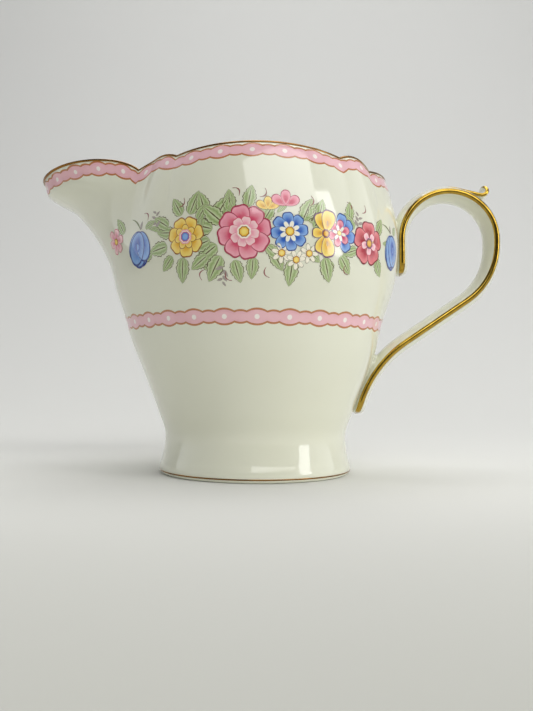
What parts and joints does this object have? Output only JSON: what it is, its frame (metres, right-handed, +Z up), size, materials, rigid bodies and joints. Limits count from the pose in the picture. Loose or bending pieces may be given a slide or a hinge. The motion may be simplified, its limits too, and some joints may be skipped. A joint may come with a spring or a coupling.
{
  "type": "porcelain cream jug",
  "caption": "Small glazed porcelain cream jug with a scalloped lobed rim, broad pouring spout, question-mark strap handle with thumb rest, gilded edges and a printed flower garland.",
  "frame": {"origin": "centre of the foot ring, on the plane the jug stands on", "axes": "+Z up out of the jug's mouth, spout towards -X, handle towards +X"},
  "size_m": [0.128, 0.0784, 0.082],
  "materials": {
    "porcelain": "glossy ivory glaze",
    "gold": "burnished gilding"
  },
  "bodies": {
    "root": {"body": "porcelain", "handle": "porcelain", "upper_handle_joint": "porcelain", "lower_handle_joint": "porcelain", "rim_gilding": "gold", "foot_gilding": "gold", "handle_gilding_left": "gold", "handle_gilding_right": "gold"}
  },
  "joints": []
}
